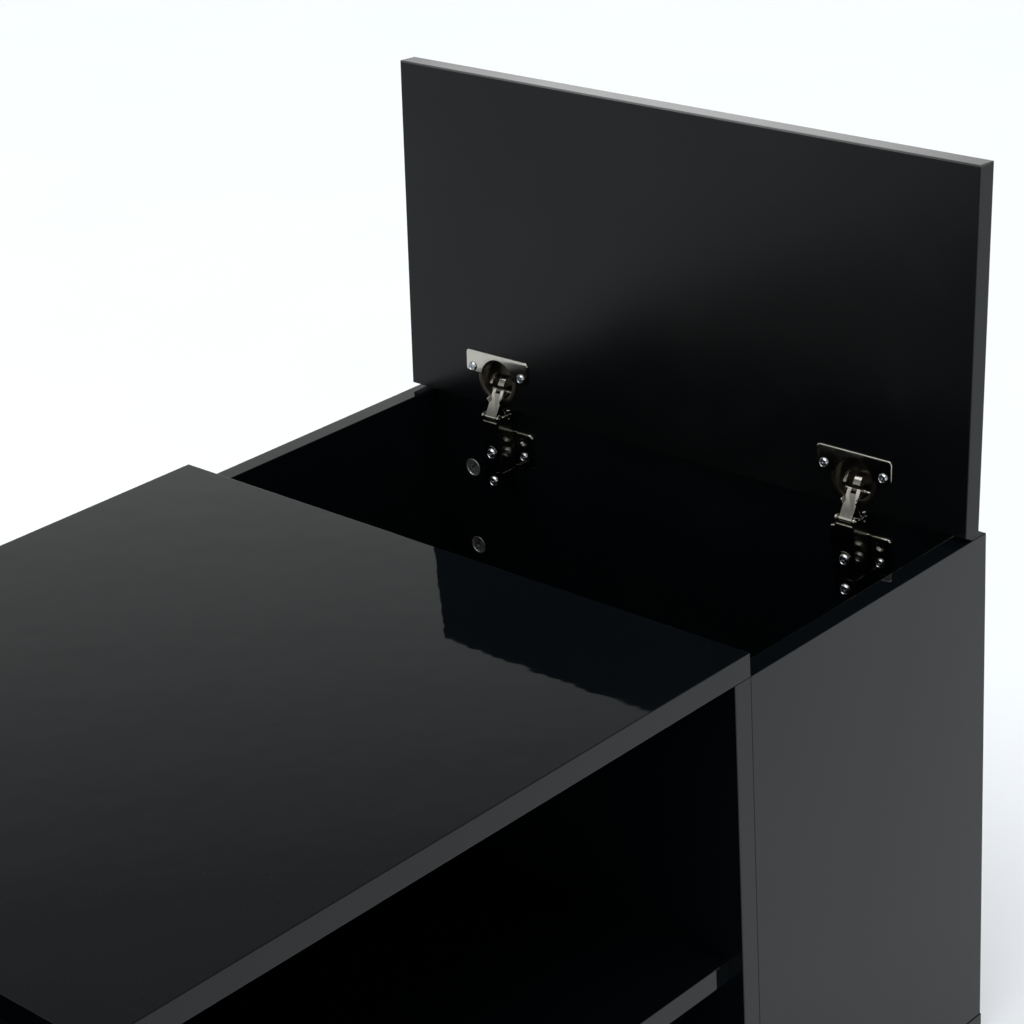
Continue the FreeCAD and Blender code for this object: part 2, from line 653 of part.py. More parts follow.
def hinge_cup():
    shell = [rod("cup_radius", "cup_depth", "cup_setback", "0", "0"),
             rod("cup_radius + 1.2", "flange_thick / 2", "cup_setback", "0", "-flange_thick / 2")]
    corner = "flange_corner"
    shell += [box("flange_width - 2 * " + corner, "flange_length", "flange_thick", "flange_start + " + corner,
                  "-flange_length / 2", "-flange_thick"),
              box("flange_width", "flange_length - 2 * " + corner, "flange_thick", "flange_start",
                  "%s - flange_length / 2" % corner, "-flange_thick")]
    for along in ("flange_start + " + corner, "flange_start + flange_width - " + corner):
        for across in ("%s - flange_length / 2" % corner, "flange_length / 2 - " + corner):
            shell.append(rod(corner, "flange_thick", along, across, "-flange_thick"))
    start = "(cup_setback - sqrt(cup_radius ^ 2 - cup_well ^ 2 / 4) + 0.4)"
    tools = [box("2 * (cup_setback - %s)" % start, "cup_well", "cup_depth + 1 - cup_floor", start,
                 "-cup_well / 2", "-1 - flange_thick")]
    for across in ("cup_screw_pitch / 2", "-cup_screw_pitch / 2"):
        tools.append(rod("screw_radius + 0.25", "flange_thick + 2", "cup_screw_setback", across,
                         "-flange_thick - 1"))
    # Room for the first link where it leans out over the cup's edge with the lid open.
    room = placed(box("link_reach", "link_width + 2 * link_play", "2 * link_eye + link_play"),
                  open_link.multiply(Placement(Vector(0, -size("link_width") / 2 - size("link_play"),
                                                      -size("link_eye") - size("link_play") / 2), Rotation())))
    tools.append(room)
    lug = [box("lug_length", "lug_width", "cup_depth - pivot_deep", "pivot_in - link_eye", "-lug_width / 2",
               "pivot_deep"),
           rod("link_eye", "lug_width", "pivot_in", "-lug_width / 2", "pivot_deep", "Y")]
    bores = [rod("pin_radius", "link_width", "pivot_in", "-link_width / 2", "pivot_deep", "Y"),
             rod("pin_radius", "cup_well + 4", "second_pivot_in", "-cup_well / 2 - 2", "second_pivot_deep", "Y")]
    return cut(joined(cut(joined(*shell), *tools), *lug), *bores)


def screw(name, radius, length, head_radius, head_height):
    """A pan head screw with a cross recess: its point is at its origin, its head above."""
    stem = turned(name, [
        ("0", "0"), (radius, "1.5 * " + radius), (radius, length), (head_radius, length),
        (head_radius, "%s + %s * 0.4" % (length, head_height)),
        ("%s * 0.7" % head_radius, "%s + %s * 0.85" % (length, head_height)),
        ("0", "%s + %s" % (length, head_height))])
    top = "%s + %s - 1.1" % (length, head_height)
    recess = [box("%s * 1.1" % head_radius, "0.8", "3", "-%s * 0.55" % head_radius, "-0.4", top),
              box("0.8", "%s * 1.1" % head_radius, "3", "-0.4", "-%s * 0.55" % head_radius, top)]
    return cut(stem, *recess)


wood_screw = screw("WoodScrew", "screw_radius", "screw_length", "screw_head_radius", "screw_head_height")
adjuster = screw("Adjuster", "adjuster_radius", "adjuster_length", "adjuster_head", "screw_head_height")
arm_pin = rod("pin_radius", "arm_width + 1.2", "0", "-arm_width / 2 - 0.6", "0", "Y")
cup_pin = rod("pin_radius", "cup_well + 2 * pin_grip", "0", "-cup_well / 2 - pin_grip", "0", "Y")
link_pin = rod("pin_radius", "link_width", "0", "-link_width / 2", "0", "Y")
doc.recompute()

into_panel = Rotation(Vector(0, 1, 0), 90)
arm_pins = []
plate_screws = []
adjusters = []
for side_name, side in SIDES.items():
    link_pin_places = []
    cup_pin_places = []
    cup_screws = []
    for end_name, end in ENDS.items():
        where = "_%s_%s" % (side_name, end_name)
        frame = hinge_frame(side, end * hinge_side)
        lid_frame = turned_in(frame, Vector(size("open_reach"), size("open_rise"), 0), open_turn)
        keep(hinge_plate(), "hinge_plate" + where, frame)
        keep(hinge_arm(), "hinge_arm" + where, frame)
        keep(outer_link(), "outer_link" + where, turned_in(frame, arm_pivot, link_open))
        keep(inner_link(second_open), "inner_link" + where, turned_in(frame, second_foot, second_open))
        keep(hinge_cup(), "hinge_cup" + where, lid_frame)
        for pivot in (arm_pivot, second_pivot):
            arm_pins.append(turned_in(frame, pivot, 0))
        link_pin_places.append(lid_frame.multiply(
            Placement(Vector(size("pivot_in"), 0, size("pivot_deep")), Rotation())))
        cup_pin_places.append(lid_frame.multiply(
            Placement(Vector(size("second_pivot_in"), 0, size("second_pivot_deep")), Rotation())))
        for share in (-0.5, 0.5):
            cup_screws.append(lid_frame.multiply(Placement(
                Vector(size("cup_screw_setback"), share * size("cup_screw_pitch"),
                       size("screw_length") - size("flange_thick")), Rotation(Vector(1, 0, 0), 180))))
            plate_screws.append(frame.multiply(Placement(
                Vector(size("plate_thick") - size("screw_length"), share * size("plate_hole_pitch"),
                       -size("plate_drop") - size("plate_low_hole")), into_panel)))
        for drop in ("adjuster_drop", "clamp_drop"):
            lift = size("ring_height") if drop == "adjuster_drop" else 0
            adjusters.append(frame.multiply(Placement(
                Vector(size("arm_height") + lift - size("adjuster_length"), 0, -size(drop)), into_panel)))
    group("cup_pins_" + side_name, (link_pin, link_pin_places), (cup_pin, cup_pin_places))
    group("cup_screws_" + side_name, (wood_screw, cup_screws))
group("arm_pins", (arm_pin, arm_pins))
group("plate_screws", (wood_screw, plate_screws))
group("arm_screws", (adjuster, adjusters))

doc.recompute()
for item in doc.Objects:
    if "Invalid" in item.State or "Error" in item.State:
        raise RuntimeError("%s %s" % (item.Name, item.State))
for label, piece in nodes.items():
    if piece.Shape.isNull() or not piece.Shape.isValid():
        raise RuntimeError(label + " has no valid shape")

os.makedirs("parts", exist_ok=True)
for label, piece in nodes.items():
    piece.Shape.exportStep("parts/%s.step" % label)
print(len(nodes), "nodes written")
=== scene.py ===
import bmesh
import bpy
import json
import math
from mathutils import Matrix, Vector


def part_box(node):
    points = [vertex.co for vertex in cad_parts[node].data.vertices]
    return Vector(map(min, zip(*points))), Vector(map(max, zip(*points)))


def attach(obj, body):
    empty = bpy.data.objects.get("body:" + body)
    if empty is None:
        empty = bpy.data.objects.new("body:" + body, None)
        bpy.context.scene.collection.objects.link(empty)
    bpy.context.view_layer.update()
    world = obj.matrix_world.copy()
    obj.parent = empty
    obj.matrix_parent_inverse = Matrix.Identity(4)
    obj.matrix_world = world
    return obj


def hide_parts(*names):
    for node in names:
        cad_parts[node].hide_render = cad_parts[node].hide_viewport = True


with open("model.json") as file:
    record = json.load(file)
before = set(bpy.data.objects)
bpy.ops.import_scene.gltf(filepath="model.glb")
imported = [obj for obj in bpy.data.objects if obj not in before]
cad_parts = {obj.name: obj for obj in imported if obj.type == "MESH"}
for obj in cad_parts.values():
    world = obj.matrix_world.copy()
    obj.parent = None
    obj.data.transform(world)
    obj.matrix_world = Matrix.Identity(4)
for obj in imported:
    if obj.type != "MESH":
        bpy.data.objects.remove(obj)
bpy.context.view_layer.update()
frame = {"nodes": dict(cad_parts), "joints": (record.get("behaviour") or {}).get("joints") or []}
nodes = frame["nodes"]
scene = bpy.context.scene
mm = 0.001
print("frame loaded:", len(nodes), "nodes")

# Shader maths: a wrapped socket, so that an expression on values adds its own nodes.

class Value:
    def __init__(self, tree, socket):
        self.tree = tree
        self.socket = socket

    def math(self, operation, other=None, swap=False):
        values = [self, other] if other is not None else [self]
        if swap:
            values.reverse()
        return self.tree.add("ShaderNodeMath", {"operation": operation}, dict(enumerate(values)))

    def __add__(self, other):
        return self.math("ADD", other)

    def __sub__(self, other):
        return self.math("SUBTRACT", other)

    def __rsub__(self, other):
        return self.math("SUBTRACT", other, swap=True)

    def __mul__(self, other):
        return self.math("MULTIPLY", other)

    def __truediv__(self, other):
        return self.math("DIVIDE", other)

    def __rtruediv__(self, other):
        return self.math("DIVIDE", other, swap=True)

    def __pow__(self, other):
        return self.math("POWER", other)

    __radd__ = __add__
    __rmul__ = __mul__

    # 0 below the edge, 1 above it, over a soft band.
    def above(self, edge, soft):
        return self.tree.add("ShaderNodeMapRange", {"interpolation_type": "SMOOTHSTEP"},
                             {"Value": self, "From Min": edge - soft, "From Max": edge + soft})


# One material's nodes.
class Tree:

    def __init__(self, name, tint=(0.5, 0.5, 0.5), roughness=0.5, metallic=0.0, **constants):
        self.material = bpy.data.materials.new(name)
        self.material.use_nodes = True
        self.nodes = self.material.node_tree.nodes
        self.links = self.material.node_tree.links
        self.shader = self.nodes["Principled BSDF"]
        self.shader.inputs["Base Color"].default_value = (*tint, 1)
        self.shader.inputs["Roughness"].default_value = roughness
        self.shader.inputs["Metallic"].default_value = metallic
        for socket, value in constants.items():
            self.shader.inputs[socket.replace("_", " ")].default_value = value
        self.material.diffuse_color = (*tint, 1)

    def add(self, kind, settings=None, sockets=None, output=0):
        node = self.nodes.new(kind)
        for name, value in (settings or {}).items():
            setattr(node, name, value)
        for name, value in (sockets or {}).items():
            if isinstance(value, Value):
                self.links.new(value.socket, node.inputs[name])
            else:
                node.inputs[name].default_value = value
        return Value(self, node.outputs[output])

    # Object coordinates in metres, stretched and turned.
    def place(self, scale=(1, 1, 1), turn=(0, 0, 0)):
        where = self.add("ShaderNodeTexCoord", output="Object")
        return self.add("ShaderNodeMapping", {}, {"Vector": where, "Scale": scale, "Rotation": turn})

    def noise(self, scale, detail=4.0, where=None, rough=0.5, distort=0.0):
        return self.add("ShaderNodeTexNoise", {}, {"Vector": where or self.place(), "Scale": scale,
                        "Detail": detail, "Roughness": rough, "Distortion": distort}, "Fac")

    def cells(self, scale, where):
        return self.add("ShaderNodeTexVoronoi", {"feature": "F1"}, {"Vector": where, "Scale": scale},
                        "Distance")

    # A colour ramp from (position, colour) stops.
    def ramp(self, value, *stops):
        node = self.add("ShaderNodeValToRGB", {}, {"Fac": value})
        elements = node.socket.node.color_ramp.elements
        while len(elements) < len(stops):
            elements.new(0.5)
        for element, (position, colour) in zip(elements, stops):
            element.position = position
            element.color = (*colour, 1)
        return node

    def axis(self, where, index):
        return self.add("ShaderNodeSeparateXYZ", {}, {"Vector": where}, index)

    def mix(self, amount, first, second):
        node = self.nodes.new("ShaderNodeMix")
        node.data_type = "RGBA"
        chosen = {socket.identifier: socket for socket in node.inputs}
        for key, value in (("Factor_Float", amount), ("A_Color", first), ("B_Color", second)):
            if isinstance(value, Value):
                self.links.new(value.socket, chosen[key])
            else:
                chosen[key].default_value = value if key == "Factor_Float" else (*value, 1)
        result = next(socket for socket in node.outputs if socket.identifier == "Result_Color")
        return Value(self, result)

    def bump(self, height, strength, distance):
        return self.add("ShaderNodeBump", {}, {"Height": height, "Strength": strength, "Distance": distance})

    def feed(self, **inputs):
        for name, value in inputs.items():
            self.links.new(value.socket, self.shader.inputs[name.replace("_", " ")])
        return self.material


# Small round spots, most of them missing: 1 inside a spot.
def specks(tree, scale, size):
    where = tree.place()
    spot = 1 - tree.cells(scale, where).above(size, size * 0.4)
    kept = tree.noise(scale * 0.13, 2.0, where).above(0.60, 0.02)
    return spot * kept


# 1 inside a box in metres, from its corners; None leaves a side open.
def within(tree, where, low, high):
    inside = None
    for axis in range(3):
        here = tree.axis(where, axis)
        for edge, sign in ((low[axis], 1), (high[axis], -1)):
            if edge is not None:
                step = (here - edge) if sign > 0 else (edge - here)
                step = step.math("GREATER_THAN", 0.0)
                inside = step if inside is None else inside * step
    return inside


compartment = {"sides": ("right", "left"), "skin": 0.0005}
gloss = {"tint": (0.0012, 0.0024, 0.0032), "roughness": 0.035, "ior": 1.34, "dust": 0.35,
         "dustTint": (0.12, 0.125, 0.13), "smudgeTint": (0.0036, 0.0046, 0.0054), "inside": 0.30,
         "peel": 0.10, "peelDepth": 0.0004}


# 1 within the side compartments' inner faces.
def insideCompartments(tree, where):
    inside = None
    for side in compartment["sides"]:
        partition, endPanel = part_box("partition_" + side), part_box("end_panel_" + side)
        front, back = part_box("front_panel_" + side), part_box("back_panel_" + side)
        faces = sorted((partition[side == "right"].x, endPanel[side != "right"].x))
        skin = compartment["skin"]
        low = (faces[0] - skin, front[1].y - skin, None)
        high = (faces[1] + skin, back[0].y + skin, endPanel[1].z - skin)
        part = within(tree, where, low, high)
        inside = part if inside is None else inside + part
    return inside


# Lacquered board: a mirror outside, duller inside the compartments.
def glossMaterial():
    tree = Tree("gloss_board", gloss["tint"], gloss["roughness"], IOR=gloss["ior"])
    where = tree.place()
    smudge = tree.noise(7.0, 3.0, rough=0.6).above(0.62, 0.16)
    haze = tree.noise(26.0, 5.0, distort=0.4)
    dust = specks(tree, 420.0, 0.08)
    hair = tree.noise(60.0, 2.0, tree.place((1, 14, 14), (0.0, 0.0, 0.4))).above(0.80, 0.02)
    inside = insideCompartments(tree, where)
    colour = tree.mix(dust * gloss["dust"], gloss["tint"], gloss["dustTint"])
    colour = tree.mix(smudge * 0.35, colour, gloss["smudgeTint"])
    rough = smudge * 0.030 + haze * 0.02 + dust * 0.3 + hair * 0.04 + inside * gloss["inside"]
    rough = rough + gloss["roughness"] * 0.4
    peel = tree.noise(62.0, 1.0) + tree.noise(21.0, 1.0) * 2.2
    return tree.feed(Base_Color=colour, Roughness=rough,
                     Normal=tree.bump(peel, gloss["peel"], gloss["peelDepth"]))


# The band colour is painted sheen: a paler grey on the lid's black cut edges that stands in for the light
# they reflect.
lidFinish = {"tint": (0.0022, 0.0026, 0.0030), "roughness": 0.24, "ior": 1.27, "grain": 0.05, "dust": 0.18,
             "dustTint": (0.16, 0.165, 0.17), "smudgeTint": (0.0070, 0.0075, 0.0080),
             "paintedSheen": (0.085, 0.090, 0.090), "paintedSheenHeight": 0.0012, "pores": 0.22, "poreDepth": 0.00012}


# Satin face with grained pores, and a paler band on its cut edges that is painted sheen: a grey painted onto
# the black edges in place of their reflection of broad light.
def lidMaterial():
    tree = Tree("lid_board", lidFinish["tint"], lidFinish["roughness"], IOR=lidFinish["ior"])
    smudge = tree.noise(9.0, 4.0, rough=0.62).above(0.62, 0.20)
    pores = tree.noise(900.0, 3.0)
    dust = specks(tree, 380.0, 0.08)
    colour = tree.mix(dust * lidFinish["dust"], lidFinish["tint"], lidFinish["dustTint"])
    colour = tree.mix(smudge * 0.5, colour, lidFinish["smudgeTint"])
    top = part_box("lid_right")[1].z
    # Random patches in the painted sheen, not wear.
    sheenNoise = tree.noise(14.0, 3.0)
    where = tree.place()
    along = tree.axis(where, 1)
    # The painted sheen fades towards both ends of the lid.
    fade = along * along * -11.0 + 1.05  # duller towards both ends
    edge = (None, None, top - lidFinish["paintedSheenHeight"])
    paintedSheen = within(tree, where, edge, (None, None, None)) * (sheenNoise * 0.4 + 0.8) * fade
    # Painted sheen: the paler band colour is laid over the cut edges' own black.
    colour = tree.mix(paintedSheen, colour, lidFinish["paintedSheen"])
    rough = smudge * 0.035 + pores * lidFinish["grain"] + paintedSheen * 0.15 + lidFinish["roughness"] - 0.03
    return tree.feed(Base_Color=colour, Roughness=rough, Coat_Weight=paintedSheen,
                     Normal=tree.bump(pores, lidFinish["pores"], lidFinish["poreDepth"]))


nickel = {"tint": (0.42, 0.41, 0.365), "roughness": 0.12, "scuff": 0.10}
# The bowl's tint is painted shade: the hinge's nickel plating made darker for the cup's recess in the lid.
bowl = {"tint": (0.105, 0.092, 0.074), "roughness": 0.30, "scuff": 0.20}
zinc = {"tint": (0.50, 0.53, 0.56), "roughness": 0.20, "scuff": 0.16}
casting = {"tint": (0.60, 0.61, 0.61), "roughness": 0.50, "scuff": 0.25}


# Plated or cast metal, brushed and a little tarnished.
def metalMaterial(name, finish, brush=(1, 1, 1), mottled=0.0, patches=70.0):
    tree = Tree(name, finish["tint"], finish["roughness"], 1.0)
    drawn = tree.noise(520.0, 4.0, tree.place(brush))
    patch = tree.noise(patches, 4.0, rough=0.65)
    tarnish = patch.above(0.58, 0.10)
    dark = tuple(channel * (0.80 - mottled) for channel in finish["tint"])
    colour = tree.mix(tarnish * 0.6, finish["tint"], dark)
    rough = drawn * finish["scuff"] + tarnish * 0.08 + finish["roughness"] * 0.7
    return tree.feed(Base_Color=colour, Roughness=rough, Normal=tree.bump(drawn, 0.12 + mottled, 0.00008))


beech = {"tint": (0.62, 0.44, 0.27), "dark": (0.44, 0.28, 0.15), "roughness": 0.5, "grain": 160.0}


def beechMaterial():
    tree = Tree("beech", beech["tint"], beech["roughness"])
    grain = tree.noise(beech["grain"], 5.0, tree.place((0.08, 1, 1)), distort=0.8)
    return tree.feed(Base_Color=tree.mix(grain.above(0.52, 0.12), beech["tint"], beech["dark"]),
                     Roughness=grain * 0.2 + beech["roughness"], Normal=tree.bump(grain, 0.3, 0.0002))


plastic = {"tint": (0.012, 0.012, 0.013), "roughness": 0.45, "grain": 300.0}


def plasticMaterial():
    tree = Tree("glide_plastic", plastic["tint"], plastic["roughness"])
    grain = tree.noise(plastic["grain"], 4.0)
    lighter = tuple(channel * 1.5 for channel in plastic["tint"])
    return tree.feed(Base_Color=tree.mix(grain.above(0.6, 0.15), plastic["tint"], lighter),
                     Roughness=grain * 0.2 + plastic["roughness"] - 0.1,
                     Normal=tree.bump(grain, 0.3, 0.0002))


boardGloss = glossMaterial()
materials = {
    "gloss_board": boardGloss,
    "satin_board": boardGloss,
    "lid_board": lidMaterial(),
    "hinge_nickel": metalMaterial("hinge_nickel", nickel),
    # A darker copy of the nickel for the cup's bowl, as painted shade in its recess.
    "hinge_bowl_painted_shade": metalMaterial("hinge_bowl_painted_shade", bowl, brush=(1, 1, 0.06)),
    "zinc_screws": metalMaterial("zinc_screws", zinc),
    "zinc_casting": metalMaterial("zinc_casting", casting, mottled=0.45, patches=420.0),
    "beech": beechMaterial(),
    "glide_plastic": plasticMaterial(),
}


# The finish of a carried-over node.
def slotOf(node):
    if node.startswith("lid_"):
        return "lid_board"
    if node.startswith(("hinge_", "outer_link", "inner_link", "cup_pins", "arm_pins")):
        return "hinge_nickel"
    if node.startswith("glides"):
        return "glide_plastic"
    if "dowel" in node:
        return "beech"
    if node == "cam_locks":
        return "zinc_casting"
    if "screws" in node or node in ("cam_bolts", "shelf_pins"):
        return "zinc_screws"
    return "gloss_board"


for name, node in nodes.items():
    node.data.materials.clear()
    node.data.materials.append(materials[slotOf(name)])
print("materials set")

# Hinges, in mm. Their own frames come from the joints: x is out from the end panel or along the lid, and
# z is up or deep into the lid.

hinge = {"lidTurn": 92.9, "pivotIn": 12.0, "pivotDeep": 2.0, "armRound": 0.40, "linkRound": 0.28,
         "strapRound": 0.15}

joints = {joint["name"]: joint for joint in frame["joints"]}
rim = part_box("end_panel_right")[1].z
sides = {"right": 1, "left": -1}
ends = ("front", "back")
lidTurn = math.radians(hinge["lidTurn"])


# The hinge's frame on the end panel's inner face, level with the rim.
def wallFrame(side, end):
    low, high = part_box("hinge_plate_%s_%s" % (side, end))
    wall = high.x if side == "right" else low.x
    spin = Matrix.Rotation(math.pi if side == "right" else 0, 4, "Z")
    return Matrix.Translation((wall, (low.y + high.y) / 2, rim)) @ spin


# A joint's place in the hinge's frame, as (out, up).
def pivotIn(side, end, name):
    local = wallFrame(side, end).inverted() @ Vector(joints[side + "_" + name]["pos_m"])
    return local.x, local.z


def turnedFrame(base, out, up, heading):
    return base @ Matrix.Translation((out, 0, up)) @ Matrix.Rotation(-heading, 4, "Y")


# Along the lid from its hinged edge, and deep from its inner face.
def lidFrame(side, end):
    out, up = pivotIn(side, end, "lid_hinge")
    base = turnedFrame(wallFrame(side, end), out, up, lidTurn)
    return base @ Matrix.Translation((-hinge["pivotIn"] * mm, 0, -hinge["pivotDeep"] * mm))


# A bmesh shape as a piece of the object, riding on a body. Edges sharper than the angle, in degrees, stay
# sharp, or are rounded by the bevel.
def finished(name, shape, body, slot, bevel=0.0, angle=30.0, replaced=()):
    bmesh.ops.recalc_face_normals(shape, faces=shape.faces)
    mesh = bpy.data.meshes.new(name)
    shape.to_mesh(mesh)
    shape.free()
    piece = bpy.data.objects.new(name, mesh)
    scene.collection.objects.link(piece)
    mesh.materials.append(materials[slot])
    mesh.shade_smooth()
    mesh.set_sharp_from_angle(angle=math.radians(angle))
    if bevel:
        rounding = piece.modifiers.new("edges", "BEVEL")
        rounding.width = bevel
        rounding.segments = 2
        rounding.limit_method = "ANGLE"
        rounding.angle_limit = math.radians(angle)
        rounding.harden_normals = True
    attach(piece, body)
    if replaced:
        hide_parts(*replaced)
    return piece


# A merged copy of a CAD node, with its flat faces whole.
def cadShape(node):
    shape = bmesh.new()
    shape.from_mesh(nodes[node].data)
    bmesh.ops.remove_doubles(shape, verts=shape.verts, dist=2e-6)
    bmesh.ops.dissolve_limit(shape, angle_limit=math.radians(1.0), verts=shape.verts, edges=shape.edges,
                             delimit={"NORMAL"})
    return shape


# The CAD node with its edges eased.
def eased(node, body, bevel):
    return finished(node + "_eased", cadShape(node), body, "hinge_nickel", bevel, replaced=(node,))


# A box from corner to corner in mm, in a frame.
def block(shape, low, high, where=Matrix.Identity(4)):
    low, high = Vector(low) * mm, Vector(high) * mm
    made = bmesh.ops.create_cube(shape, size=1.0)["verts"]
    size = Matrix.Diagonal((*(high - low), 1))
    bmesh.ops.transform(shape, matrix=where @ Matrix.Translation((low + high) / 2) @ size, verts=made)
    return made


# A round shape about its local z, from (radius, height) in mm.
def spun(shape, profile, steps=32):
    chain = [shape.verts.new((radius * mm, 0, height * mm)) for radius, height in profile]
    edges = [shape.edges.new(pair) for pair in zip(chain, chain[1:])]
    bmesh.ops.spin(shape, geom=chain + edges, cent=(0, 0, 0), axis=(0, 0, 1), angle=2 * math.pi,
                   steps=steps, use_merge=True, use_duplicate=False)
    bmesh.ops.remove_doubles(shape, verts=shape.verts, dist=1e-6)


# A round head whose cross recess is pressed in: the faces within the lobes' two radii go down.
def crossHead(profile, lobes, depth, steps=16):
    shape = bmesh.new()
    spun(shape, profile, steps)
    core, reach = lobes
    pressed = []
    top = max(height for radius, height in profile)
    for face in shape.faces:
        middle = face.calc_center_median()
        if middle.z < (top - 0.9) * mm or face.normal.length == 0:  # sides and underside
            continue
        radius = math.hypot(middle.x, middle.y) / mm
        wedge = round(math.atan2(middle.y, middle.x) / (2 * math.pi) * steps - 0.5) % (steps // 4)
        if radius < core or (radius < reach and wedge == 0):
            pressed.append(face)
    made = bmesh.ops.extrude_face_region(shape, geom=pressed)["geom"]
    bottom = [item for item in made if isinstance(item, bmesh.types.BMVert)]
    bmesh.ops.translate(shape, vec=(0, 0, -depth * mm), verts=bottom)
    bmesh.ops.delete(shape, geom=[face for face in pressed if face.is_valid], context="FACES")
    return shape


# Copies of one shape as one piece.
def placedCopies(name, master, places, body, slot, replaced):
    whole = bmesh.new()
    source = bpy.data.meshes.new("master")
    master.to_mesh(source)
    master.free()
    for place in places:
        before = len(whole.verts)
        whole.from_mesh(source)
        whole.verts.ensure_lookup_table()
        bmesh.ops.transform(whole, matrix=place, verts=whole.verts[before:])
    bpy.data.meshes.remove(source)
    return finished(name, whole, body, slot, replaced=replaced)


# A flat plate in its frame's yz plane: corners rounded, and its outer rim rolled.
def roundedPlate(shape, low, high, corner, edge, where):
    made = block(shape, low, high, where)
    edges = list({e for v in made for e in v.link_edges})
    inverse = where.inverted()

    def runs(e, axis):
        span = (inverse @ e.verts[0].co) - (inverse @ e.verts[1].co)
        return abs(span[axis]) > 0.9 * span.length

    short = [e for e in edges if runs(e, 0)]
    bmesh.ops.bevel(shape, geom=short, offset=corner * mm, segments=6, profile=0.5, affect="EDGES",
                    material=-1)
    broad = [face for face in shape.faces if len(face.verts) > 8]
    outer = max(broad, key=lambda face: (inverse @ face.calc_center_median()).x)
    bmesh.ops.bevel(shape, geom=list(outer.edges), offset=edge * mm, segments=5, profile=0.5, affect="EDGES",
                    material=-1)


cup = {"centre": 20.5, "radius": 17.4, "well": 13.6, "deep": 11.2, "floor": 0.8, "rim": 18.6,
       "rimRise": 0.6, "lugSpan": (10.1, 13.9), "lugTop": 2.4, "lugHalf": 2.0, "boss": 1.9,
       "flangeStart": 22.5, "flangeWidth": 17.5, "flangeLength": 61.0, "flangeThick": 1.2, "corner": 3.2,
       "round": 0.75, "mouth": 2.2, "screwAt": 27.0, "screwPitch": 48.0}


# Bowl, rim and lug of the cup, in the lid's frame: its local z goes into the lid.
def cupShape(where):
    shape = bmesh.new()
    centre = Matrix.Translation((cup["centre"] * mm, 0, 0))
    wall, well, deep, rimEdge, rise = (cup[part] for part in ("radius", "well", "deep", "rim", "rimRise"))
    under = deep + cup["floor"]
    outside = [(0, under), (wall - 1.5, under), (wall, deep - 0.6), (wall, 0.0)]
    rolledRim = [(rimEdge, -0.05), (rimEdge, -0.45), (rimEdge - 0.5, -rise), (well + 2.4, -rise)]
    inside = [(well + 1.2, -0.35), (well + 0.9, 0.4), (well + 0.6, deep - 2.6), (well - 1.2, deep)]
    spun(shape, outside + rolledRim + inside + [(0, deep)], 64)
    bmesh.ops.transform(shape, matrix=centre, verts=shape.verts)
    (start, end), half, bossRadius = cup["lugSpan"], cup["lugHalf"], cup["boss"]
    block(shape, (start, -half, cup["lugTop"]), (end, half, deep + cup["floor"] / 2))
    boss = bmesh.new()
    spun(boss, [(0, -half), (bossRadius, -half), (bossRadius, half), (0, half)], 20)
    pin = Matrix.Translation((hinge["pivotIn"] * mm, 0, hinge["pivotDeep"] * mm))
    bmesh.ops.transform(boss, matrix=pin @ Matrix.Rotation(math.pi / 2, 4, "X"), verts=boss.verts)
    extra = bpy.data.meshes.new("boss")
    boss.to_mesh(extra)
    boss.free()
    shape.from_mesh(extra)
    bpy.data.meshes.remove(extra)
    bmesh.ops.transform(shape, matrix=where, verts=shape.verts)
    return shape


hooks = {"strips": ((-11.2, -8.8), (-3.2, 2.6)), "thick": 0.9, "round": 0.2,
         "bend": ((15.4, 2.9), (17.6, 4.0), (20.4, 5.8), (21.6, 7.8), (21.9, 10.6))}


# The two bent strips on the bowl's floor that hold its pins, in the lid's frame.
def hookShape(where):
    shape = bmesh.new()
    for low, high in hooks["strips"]:
        chain = [shape.verts.new((along * mm, low * mm, down * mm)) for along, down in hooks["bend"]]
        edges = [shape.edges.new(pair) for pair in zip(chain, chain[1:])]
        strip = bmesh.ops.extrude_edge_only(shape, edges=edges)["geom"]
        bmesh.ops.translate(shape, vec=(0, (high - low) * mm, 0),
                            verts=[v for v in strip if isinstance(v, bmesh.types.BMVert)])
        bmesh.ops.solidify(shape, geom=[f for f in strip if isinstance(f, bmesh.types.BMFace)],
                           thickness=hooks["thick"] * mm)
    bmesh.ops.transform(shape, matrix=where, verts=shape.verts)
    return shape


# Cut round tools, given as (profile, place), out of a piece.
def pierced(piece, places):
    for profile, place in places:
        cutter = bmesh.new()
        spun(cutter, profile)
        bmesh.ops.transform(cutter, matrix=place, verts=cutter.verts)
        bmesh.ops.recalc_face_normals(cutter, faces=cutter.faces)
        tool = bpy.data.meshes.new("tool")
        cutter.to_mesh(tool)
        cutter.free()
        toolPiece = bpy.data.objects.new("tool", tool)
        scene.collection.objects.link(toolPiece)
        opening = piece.modifiers.new("opening", "BOOLEAN")
        opening.object = toolPiece
        opening.solver = "EXACT"
        bpy.context.view_layer.update()
        made = bpy.data.meshes.new_from_object(piece.evaluated_get(bpy.context.evaluated_depsgraph_get()))
        piece.modifiers.clear()
        piece.data = made
        bpy.data.objects.remove(toolPiece)
    return piece


# The cup's flange: a pressed plate with round corners and rolled rims.
def flangeShape(where):
    shape = bmesh.new()
    start, width, half = cup["flangeStart"], cup["flangeWidth"], cup["flangeLength"] / 2
    roundedPlate(shape, (0.0, -half, start), (cup["flangeThick"], half, start + width), cup["corner"],
                 cup["round"], where @ Matrix(((0, 0, 1, 0), (0, 1, 0, 0), (-1, 0, 0, 0), (0, 0, 0, 1))))
    return shape


screws = {"shank": 1.75, "length": 12.0, "head": 3.5, "rise": 1.55, "lobes": (0.75, 2.2), "depth": 0.9}
adjusters = {"shank": 2.15, "length": 9.0, "head": 4.0, "rise": 1.7, "lobes": (0.85, 2.5), "depth": 1.0,
             "places": ((19.7, -30.0), (19.0, -52.5))}


